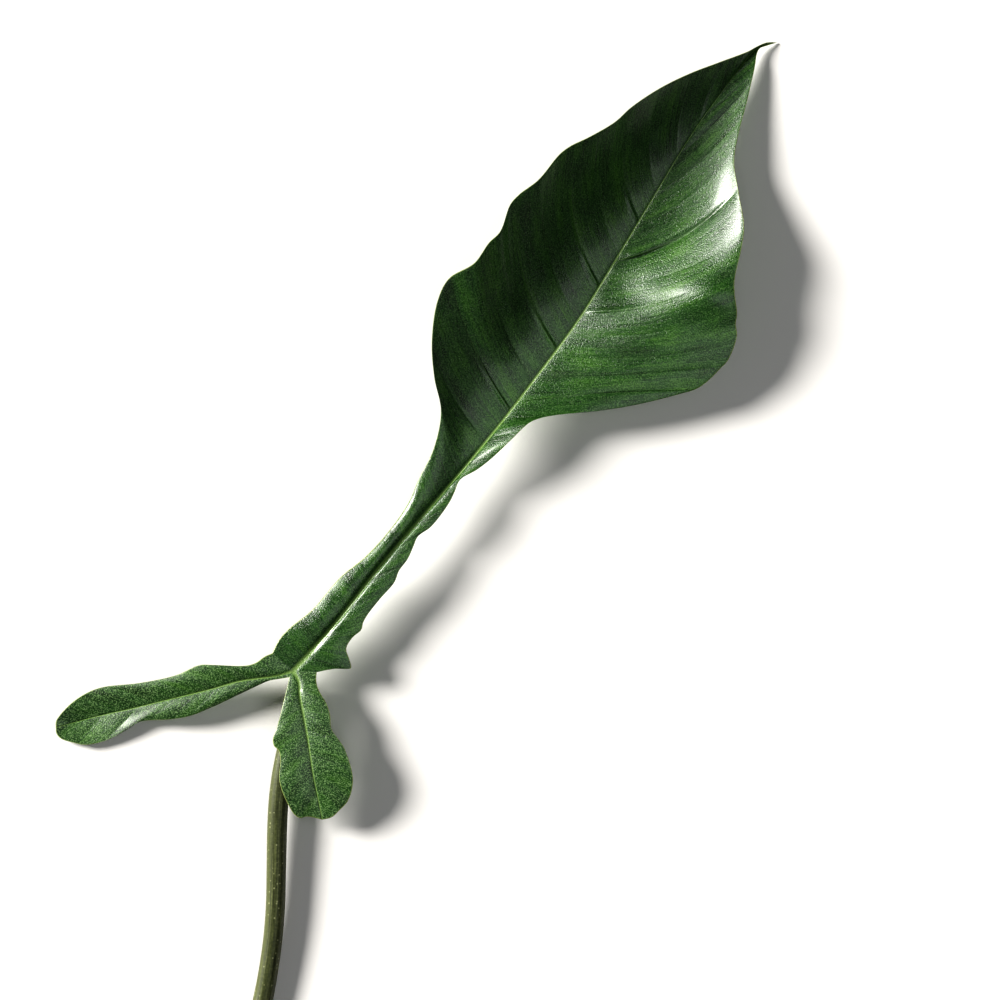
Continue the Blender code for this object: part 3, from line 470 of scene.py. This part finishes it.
# Every value that the mesh and its finish need, a row for each station and a column for each step across.
def surfaceOf(half, along, atTip, columns):
    share = along / half["rib"]["length"]
    reach = riseSmoothly(along, half["ribMarks"], half["marginMarks"])
    rib, margin = pointOn(half["rib"], along)[:, None], pointOn(half["margin"], reach)[:, None]
    across = margin - rib
    span = np.maximum(np.linalg.norm(across, axis=2), 1e-6)
    atRoot = np.array(blade["ribAtRoot"])
    halfWidth, groove, keel = (atRoot + (np.array(atTip[:3]) - atRoot) * share[:, None] ** atTip[3]).T
    edge = np.minimum(halfWidth[:, None] / span, 0.4)
    rim = np.minimum(blade["rimRound"] / span, 0.3)
    overRib = np.linspace(0, 1, blade["ribColumns"])[:, None].T * edge
    overLamina = edge + (1 - edge - rim) * np.linspace(0, 1, columns + 1)[1:]
    overRim = 1 - rim * (1 - np.sin(np.linspace(0, math.pi / 2, blade["rimSteps"] + 1)[1:]))
    t = np.concatenate([overRib, overLamina, overRim], axis=1)
    bow = np.interp(along, half["ribMarks"], half["bow"])[:, None, None]
    backwards = half["side"] * np.stack([-across[..., 1], across[..., 0], 0 * across[..., 0]], -1)
    top = rib + across * t[:, :, None] + (2 * t * (1 - t))[:, :, None] * bow * backwards
    ribGap = t * span
    fromRib = ribGap / halfWidth[:, None]
    top[..., 2] += np.interp(along, half["ribMarks"], half["crown"])[:, None] * 4 * t * (1 - t)
    top[..., 2] += np.interp(along, half["ribMarks"], half["sway"])[:, None] * np.sin(2 * math.pi * t)
    for (x, y), turn, length, width, height in swells:
        way = np.array([math.cos(math.radians(turn)), math.sin(math.radians(turn))])
        off = top[..., :2] - (x, y)
        long, wide = off @ way, off @ np.array([-way[1], way[0]])
        top[..., 2] += height * np.exp(-((long / length) ** 2) - (wide / width) ** 2)
    lift, veinGap, veinShow = reliefOf(half, along[:, None], reach[:, None], t)
    top[..., 2] += lift - groove[:, None] * np.exp(-(fromRib**2))
    depth = keel[:, None] * np.sqrt(np.clip(1 - fromRib**2, 0, 1))
    depth = depth + blade["underVein"] * veinShow * np.exp(-((veinGap / 0.5) ** 2))
    seed = np.full_like(t, half["seed"])
    weave = np.stack([along[:, None] + 0 * t, ribGap, seed], -1)
    gaps = np.stack([fromRib, (1 - t) * span, veinGap], -1)
    return {"top": top, "depth": depth, "weave": weave, "gaps": gaps, "veinShow": veinShow}


# A lip that rises slowly on one side of the vein and drops sharply at it.
def pleatOf(given, off, t):
    height, width, full, gone = given
    beside = off * np.sign(height)
    lip = np.where(beside > 0, np.exp(-((beside / width) ** 2)),
        np.exp(-((beside / blade["lipDrop"]) ** 2)))
    rise = np.clip(t / full, 0, 1)
    fall = np.clip((gone - t) / (gone - full), 0, 1)
    return abs(height) * lip * rise**2 * (3 - 2 * rise) * fall**1.3


# Sunk side veins, some with a pleat beside them, and the lamina cushioned between them.
def reliefOf(half, along, reach, t):
    ribMarks, marginMarks = half["ribMarks"], half["marginMarks"]
    height, gap, show = 0 * t, 0 * t + 99, 0 * t
    fade = np.sin(math.pi * np.clip(t, 0, 1)) ** 0.6 * (1 - 0.55 * t)
    for k in range(1, len(ribMarks) - 1):
        off = (1 - t) * (along - ribMarks[k]) + t * (reach - marginMarks[k])
        crease = (
            0.6 * np.exp(-((off / blade["veinWidth"]) ** 2))
            + 0.4 * np.exp(-((off / blade["veinShoulder"]) ** 2)))
        height -= half["sink"][k] * fade * crease
        if half["veins"][k - 1][0] in pleats:
            height += pleatOf(pleats[half["veins"][k - 1][0]], off, t)
        nearer = np.abs(off) < gap
        show = np.where(nearer, np.clip(half["sink"][k], 0, 1) * (1 - t) ** 0.5, show)
        gap = np.minimum(gap, np.abs(off))
    k = np.clip(np.searchsorted(ribMarks, along, side="right") - 1, 0, len(ribMarks) - 2)
    between = (along - ribMarks[k]) / (ribMarks[k + 1] - ribMarks[k])
    inside = (k > 0) & (k < len(ribMarks) - 2)
    height += blade["cushion"] * inside * np.sin(math.pi * between) * np.sin(math.pi * t)
    return height, gap, show


def buildSheet():
    parts = {"top": [], "depth": [], "weave": [], "gaps": [], "veinShow": []}
    faces, start = [], 0
    for n, (ribPoints, leftPoints, rightPoints, leftVeins, rightVeins, tip, columns) in enumerate(lobes):
        rib = smoothPath(ribPoints)
        halves = (newHalf(rib, leftPoints, leftVeins, 1, 2 * n),
            newHalf(rib, rightPoints, rightVeins, -1, 2 * n + 1))
        along = stationsAlong(halves)
        for half in halves:
            made = surfaceOf(half, along, blade[tip], blade[columns])
            rows, cols = made["depth"].shape
            for name, values in made.items():
                parts[name].append(values.reshape(rows * cols, -1))
            corner = start + np.arange(rows * cols).reshape(rows, cols)
            quads = np.stack([corner[:-1, :-1], corner[:-1, 1:], corner[1:, 1:], corner[1:, :-1]],
                -1).reshape(-1, 4)
            faces.append(quads if half["side"] < 0 else quads[:, ::-1])
            start += rows * cols
    sheet = {name: np.concatenate(values) for name, values in parts.items()}
    keys = np.round(sheet["top"][:, :2], 2)
    _, first, shared = np.unique(keys, axis=0, return_index=True, return_inverse=True)
    shared = shared.reshape(-1)
    sheet = {name: values[first] for name, values in sheet.items()}
    corners = shared[np.concatenate(faces)]
    polygons = []
    for face in corners:
        kept = [int(c) for k, c in enumerate(face) if c != face[k - 1]]
        if len(kept) > 2:
            polygons.append(kept)
    return sheet, polygons


def meshWithValues(name, points, polygons, values):
    mesh = bpy.data.meshes.new(name)
    mesh.from_pydata([tuple(p) for p in points], [], polygons)
    for key, numbers in values.items():
        kind = "FLOAT_VECTOR" if numbers.shape[1] == 3 else "FLOAT"
        layer = mesh.attributes.new(key, kind, "POINT")
        layer.data.foreach_set("vector" if kind == "FLOAT_VECTOR" else "value",
            numbers.astype("f").ravel())
    mesh.update()
    piece = bpy.data.objects.new(name, mesh)
    bpy.context.scene.collection.objects.link(piece)
    return piece


def newTree(name, inputs):
    tree = bpy.data.node_groups.new(name, "GeometryNodeTree")
    tree.interface.new_socket("Geometry", in_out="INPUT", socket_type="NodeSocketGeometry")
    for label, (kind, value) in inputs.items():
        socket = tree.interface.new_socket(label, in_out="INPUT", socket_type=kind)
        if value is not None:
            socket.default_value = value
    tree.interface.new_socket("Geometry", in_out="OUTPUT", socket_type="NodeSocketGeometry")
    return tree, addNode(tree, "NodeGroupInput")


# Runs a tree on a piece with its inputs set, and keeps the result as a plain mesh.
def growPiece(piece, tree, values):
    modifier = piece.modifiers.new(tree.name, "NODES")
    modifier.node_group = tree
    for socket in tree.interface.items_tree:
        if socket.item_type == "SOCKET" and socket.in_out == "INPUT" and socket.name in values:
            modifier[socket.identifier] = values[socket.name]
    bpy.context.view_layer.update()
    grown = bpy.data.meshes.new_from_object(piece.evaluated_get(bpy.context.evaluated_depsgraph_get()))
    name = piece.name
    bpy.data.objects.remove(piece)
    result = bpy.data.objects.new(name, grown)
    bpy.context.scene.collection.objects.link(result)
    grown.name = name
    return result


# Geometry Nodes: a flipped copy of the sheet is dropped by each point's depth, and the rims are joined.
def closeSheetTree():
    tree, given = newTree("close leaf sheet", {
        "Upper finish": ("NodeSocketMaterial", None), "Under finish": ("NodeSocketMaterial", None),
        "Join distance": ("NodeSocketFloat", 0.00001), "Floor": ("NodeSocketFloat", 0.0)})
    sheet = given.outputs["Geometry"]
    depth = addNode(tree, "GeometryNodeInputNamedAttribute", {"Name": "depth"},
        data_type="FLOAT").outputs[0]
    place = addNode(tree, "ShaderNodeSeparateXYZ",
        {0: addNode(tree, "GeometryNodeInputPosition").outputs[0]})
    low = addNode(tree, "ShaderNodeMath", {0: place.outputs[2], 1: depth}, operation="SUBTRACT")
    resting = addNode(tree, "ShaderNodeMath", {0: low.outputs[0], 1: given.outputs["Floor"]},
        operation="MAXIMUM")
    under = addNode(tree, "ShaderNodeCombineXYZ", {
        0: place.outputs[0], 1: place.outputs[1], 2: resting.outputs[0]})
    dropped = addNode(tree, "GeometryNodeSetPosition", {"Geometry": sheet, "Position": under.outputs[0]})
    turned = addNode(tree, "GeometryNodeFlipFaces", {0: dropped.outputs[0]})
    marked = addNode(tree, "GeometryNodeStoreNamedAttribute", {
        "Geometry": turned.outputs[0], "Name": "underside", "Value": True}, data_type="BOOLEAN",
        domain="FACE")
    both = addNode(tree, "GeometryNodeJoinGeometry", {0: sheet})
    tree.links.new(marked.outputs[0], both.inputs[0])
    closed = addNode(tree, "GeometryNodeMergeByDistance", {
        "Geometry": both.outputs[0], "Distance": given.outputs["Join distance"]})
    smooth = addNode(tree, "GeometryNodeSetShadeSmooth", {"Geometry": closed.outputs[0]})
    whole = addNode(tree, "GeometryNodeRealizeInstances", {0: smooth.outputs[0]})
    glossed = addNode(tree, "GeometryNodeSetMaterial", {
        "Geometry": whole.outputs[0], "Material": given.outputs["Upper finish"]})
    below = addNode(tree, "GeometryNodeInputNamedAttribute", {"Name": "underside"}, data_type="BOOLEAN")
    finished = addNode(tree, "GeometryNodeSetMaterial", {
        "Geometry": glossed.outputs[0], "Selection": below.outputs[0],
        "Material": given.outputs["Under finish"]})
    addNode(tree, "NodeGroupOutput", {0: finished.outputs[0]})
    return tree


def buildBlade(upper, under):
    sheet, polygons = buildSheet()
    top = sheet["top"].copy()
    facing = np.zeros_like(top)
    for corners in (np.array([p[:3] for p in polygons]),
        np.array([[p[0], p[-2], p[-1]] for p in polygons])):
        turn = np.cross(top[corners[:, 1]] - top[corners[:, 0]], top[corners[:, 2]] - top[corners[:, 0]])
        for column in corners.T:
            np.add.at(facing, column, turn)
    upright = np.clip(facing[:, 2] / np.maximum(np.linalg.norm(facing, axis=1), 1e-9),
        blade["leastUpright"], 1)
    callus = blade["callusDepth"] * np.exp(-((np.linalg.norm(top[:, :2],
        axis=1) / blade["callusReach"]) ** 2))
    rim = np.clip(sheet["gaps"][:, 1] / blade["rimRound"], 0, 1)
    rounded = np.sqrt(np.clip(1 - (1 - rim) ** 2, 0, 1))
    thickness = blade["thickness"] / upright * rounded
    depth = thickness + np.maximum(sheet["depth"][:, 0], callus) * rounded
    top[:, 2] -= 0.5 * blade["thickness"] * (1 - rounded)
    top[:, 2] = np.maximum(top[:, 2], thickness)
    values = {"depth": depth[:, None] * mm, "weave": sheet["weave"], "gaps": sheet["gaps"],
        "veinShow": sheet["veinShow"]}
    piece = meshWithValues("leafBlade", (top + rootPlace) * mm, polygons, values)
    return growPiece(piece, closeSheetTree(),
        {"Upper finish": upper, "Under finish": under, "Join distance": 0.000004})


# The stalk's middle line from the joint to the cut end, with its radius.
stalk = {
    "middle": (
        (2, -5.5, 10.2, 3.4), (0.5, -13, 10.2, 3.5), (-1.8, -24.5, 10.2, 3.7), (-3.8, -35.5, 10, 3.9),
        (-5.6, -46.5, 9.6, 4.25), (-6.9, -58, 9.2, 4.45), (-7.6, -71.5, 8.7, 4.5), (-8, -89.5, 8, 4.4),
        (-8.4, -105.5, 7.3, 4.35), (-9.6, -121, 6.4, 4.35), (-11.9, -137, 5.5, 4.4),
        (-14, -148, 4.8, 4.5), (-18, -166, 4.4, 4.6), (-21.5, -181, 4.4, 4.65), (-26, -199, 4.4, 4.7),
    ),
    "step": 1.5, "sides": 48, "ridge": 0.06, "ridgeAngle": 0.66, "slant": 0.35,
}


# Geometry Nodes: a ridged round profile swept along a path, held above the surface it rests on and cut
# off at a slant at its far end.
def sweepTree():
    tree, given = newTree("sweep stalk", {
        "Sides": ("NodeSocketInt", 32), "Ridge height": ("NodeSocketFloat", 0.05),
        "Ridge angle": ("NodeSocketFloat", 0.6), "Length": ("NodeSocketFloat", 0.2),
        "Cut lean": ("NodeSocketVector", None), "Cut height": ("NodeSocketFloat", 0.004),
        "Finish": ("NodeSocketMaterial", None), "Cut finish": ("NodeSocketMaterial", None),
        "Floor": ("NodeSocketFloat", 0.0)})
    circle = addNode(tree, "GeometryNodeCurvePrimitiveCircle",
        {"Resolution": given.outputs["Sides"], "Radius": 1.0})
    spot = addNode(tree, "GeometryNodeInputPosition").outputs[0]
    flat = addNode(tree, "ShaderNodeSeparateXYZ", {0: spot})
    angle = addNode(tree, "ShaderNodeMath", {0: flat.outputs[1], 1: flat.outputs[0]}, operation="ARCTAN2")
    aside = addNode(tree, "ShaderNodeMath", {0: angle.outputs[0]}, operation="ABSOLUTE")
    off = addNode(tree, "ShaderNodeMath", {0: aside.outputs[0], 1: given.outputs["Ridge angle"]},
        operation="SUBTRACT")
    facing = addNode(tree, "ShaderNodeMath", {0: off.outputs[0]}, operation="COSINE")
    near = addNode(tree, "ShaderNodeMath", {0: facing.outputs[0], 1: 0.0}, operation="MAXIMUM")
    crest = addNode(tree, "ShaderNodeMath", {0: near.outputs[0], 1: 14.0}, operation="POWER")
    swell = addNode(tree, "ShaderNodeMath", {
        0: crest.outputs[0], 1: given.outputs["Ridge height"], 2: 1.0}, operation="MULTIPLY_ADD")
    out = addNode(tree, "ShaderNodeVectorMath", {0: spot, "Scale": swell.outputs[0]}, operation="SCALE")
    around = addNode(tree, "GeometryNodeStoreNamedAttribute", {
        "Geometry": circle.outputs[0], "Name": "around", "Value": angle.outputs[0]}, data_type="FLOAT")
    ridge = addNode(tree, "GeometryNodeStoreNamedAttribute", {
        "Geometry": around.outputs[0], "Name": "ridge", "Value": crest.outputs[0]}, data_type="FLOAT")
    profile = addNode(tree, "GeometryNodeSetPosition",
        {"Geometry": ridge.outputs[0], "Position": out.outputs[0]})
    walk = addNode(tree, "GeometryNodeSplineParameter")
    rail = addNode(tree, "GeometryNodeStoreNamedAttribute", {
        "Geometry": given.outputs["Geometry"], "Name": "lengthwise", "Value": walk.outputs["Length"]},
        data_type="FLOAT")
    swept = addNode(tree, "GeometryNodeCurveToMesh", {
        "Curve": rail.outputs[0], "Profile Curve": profile.outputs[0], "Fill Caps": True,
        "Scale": addNode(tree, "GeometryNodeInputRadius").outputs[0]})
    reach = addNode(tree, "GeometryNodeInputNamedAttribute", {"Name": "lengthwise"}, data_type="FLOAT")
    atEnd = addNode(tree, "FunctionNodeCompare", {
        0: reach.outputs[0], 1: given.outputs["Length"]}, data_type="FLOAT", operation="GREATER_THAN")
    place = addNode(tree, "ShaderNodeSeparateXYZ",
        {0: addNode(tree, "GeometryNodeInputPosition").outputs[0]})
    above = addNode(tree, "ShaderNodeMath", {0: place.outputs[2], 1: given.outputs["Cut height"]},
        operation="SUBTRACT")
    lean = addNode(tree, "ShaderNodeVectorMath", {
        0: given.outputs["Cut lean"], "Scale": above.outputs[0]}, operation="SCALE")
    slanted = addNode(tree, "GeometryNodeSetPosition", {
        "Geometry": swept.outputs[0], "Selection": atEnd.outputs[0], "Offset": lean.outputs[0]})
    resting = addNode(tree, "ShaderNodeMath", {0: place.outputs[2], 1: given.outputs["Floor"]},
        operation="MAXIMUM")
    held = addNode(tree, "ShaderNodeCombineXYZ", {
        0: place.outputs[0], 1: place.outputs[1], 2: resting.outputs[0]})
    laid = addNode(tree, "GeometryNodeSetPosition",
        {"Geometry": slanted.outputs[0], "Position": held.outputs[0]})
    smooth = addNode(tree, "GeometryNodeSetShadeSmooth", {
        "Geometry": laid.outputs[0], "Selection": addNode(
            tree, "FunctionNodeBooleanMath", {0: atEnd.outputs[0]}, operation="NOT").outputs[0]})
    whole = addNode(tree, "GeometryNodeRealizeInstances", {0: smooth.outputs[0]})
    skinned = addNode(tree, "GeometryNodeSetMaterial", {
        "Geometry": whole.outputs[0], "Material": given.outputs["Finish"]})
    finished = addNode(tree, "GeometryNodeSetMaterial", {
        "Geometry": skinned.outputs[0], "Selection": atEnd.outputs[0],
        "Material": given.outputs["Cut finish"]})
    addNode(tree, "NodeGroupOutput", {0: finished.outputs[0]})
    return tree


def newRail(name, points, radii):
    data = bpy.data.curves.new(name, "CURVE")
    data.dimensions = "3D"
    data.twist_mode = "Z_UP"
    spline = data.splines.new("POLY")
    spline.points.add(len(points) - 1)
    for spot, point, radius in zip(spline.points, points, radii):
        spot.co = (*((point + rootPlace) * mm), 1)
        spot.radius = radius * mm
    rail = bpy.data.objects.new(name, data)
    bpy.context.scene.collection.objects.link(rail)
    return rail


def buildStalk(skin, flesh):
    path = smoothPath(stalk["middle"])
    walk = pointOn(path, np.linspace(0.3, path["length"], round(path["length"] / stalk["step"])))
    points = walk[:, :3]
    length = np.linalg.norm(np.diff(points, axis=0), axis=1).sum()
    forward = (points[-1] - points[-2]) / np.linalg.norm(points[-1] - points[-2])
    rail = newRail("petiole", points, walk[:, 3])
    return growPiece(rail, sweepTree(), {
        "Sides": stalk["sides"], "Ridge height": stalk["ridge"], "Ridge angle": stalk["ridgeAngle"],
        "Length": (length - 0.1) * mm, "Cut lean": -stalk["slant"] * forward,
        "Cut height": points[-1][2] * mm,
        "Finish": skin, "Cut finish": flesh})


table = {"size": 6.0, "height": -0.3, "tone": "#f3f1ee"}


def buildTable():
    half = table["size"] / 2
    mesh = bpy.data.meshes.new("table")
    corners = [(x * half, y * half, table["height"] * mm) for x,
        y in ((-1, -1), (1, -1), (1, 1), (-1, 1))]
    mesh.from_pydata(corners, [], [(0, 1, 2, 3)])
    material, tree = newMaterial("matt white table top")
    shader = addNode(tree, "ShaderNodeBsdfPrincipled",
        {"Base Color": fromHex(table["tone"]), "Roughness": 0.8})
    addNode(tree, "ShaderNodeOutputMaterial", {0: shader.outputs[0]})
    mesh.materials.append(material)
    top = bpy.data.objects.new("table", mesh)
    bpy.context.scene.collection.objects.link(top)


# Where the light comes from: a low sun-like lamp on the left, a soft box overhead, and weak fill all round.
lighting = {
    "key": {"from": (-0.92, 0.39, 0.62), "strength": 4.6, "angle": 20, "tone": (1.0, 0.98, 0.95)},
    "top": {"from": (0.42, -0.2, 1.3), "size": 0.9, "watts": 3.2, "tone": (0.97, 0.99, 1.0)},
    "skyStrength": 0.06,
}


def buildLights():
    aim = Vector((0.04, 0.05, 0.01))
    for name in ("key", "top"):
        given = lighting[name]
        lamp = bpy.data.lights.new(name, "SUN" if "angle" in given else "AREA")
        if "angle" in given:
            lamp.angle = math.radians(given["angle"])
            lamp.energy = given["strength"]
        else:
            lamp.size = given["size"]
            lamp.energy = given["watts"]
        lamp.color = given["tone"]
        holder = bpy.data.objects.new(name, lamp)
        holder.location = given["from"]
        holder.rotation_euler = (Vector(given["from"]) - ("angle" not in given) * aim).to_track_quat("Z",
            "Y").to_euler()
        holder.visible_camera = False
        bpy.context.scene.collection.objects.link(holder)
    world = bpy.data.worlds.new("studio")
    world.use_nodes = True
    world.node_tree.nodes.clear()
    sky = addNode(world.node_tree, "ShaderNodeBackground",
        {0: (0.95, 0.97, 1.0, 1), 1: lighting["skyStrength"]})
    addNode(world.node_tree, "ShaderNodeOutputWorld", {0: sky.outputs[0]})
    bpy.context.scene.world = world
    bpy.context.scene.view_settings.view_transform = "Standard"
    bpy.context.scene.view_settings.look = "High Contrast"


# The camera looks straight down. One picture pixel is 0.45 mm at the leaf's middle height.
view = {"pixelMm": 0.45, "width": 1000, "rootPixel": (293.5, 671), "height": 15, "distance": 2600}


def buildCamera():
    across = view["pixelMm"] * view["width"]
    centre = view["width"] / 2
    x = rootPlace[0] + (centre - view["rootPixel"][0]) * view["pixelMm"]
    y = rootPlace[1] + (view["rootPixel"][1] - centre) * view["pixelMm"]
    data = bpy.data.cameras.new("camera")
    data.lens = data.sensor_width * view["distance"] / across
    camera = bpy.data.objects.new("camera", data)
    camera.location = Vector((x, y, view["distance"] + view["height"])) * mm
    bpy.context.scene.collection.objects.link(camera)
    bpy.context.scene.camera = camera


upper, under = upperMaterial(), underMaterial()
leafBlade = buildBlade(upper, under)
print("blade:", len(leafBlade.data.polygons), "faces")
petiole = buildStalk(stalkMaterial(), fleshMaterial())
print("stalk:", len(petiole.data.polygons), "faces")
for piece, node, slot in ((leafBlade, "leaf_blade", "lamina"), (petiole, "petiole", "stalk")):
    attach(piece, "root")
    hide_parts(node)
buildTable()
buildLights()
buildCamera()
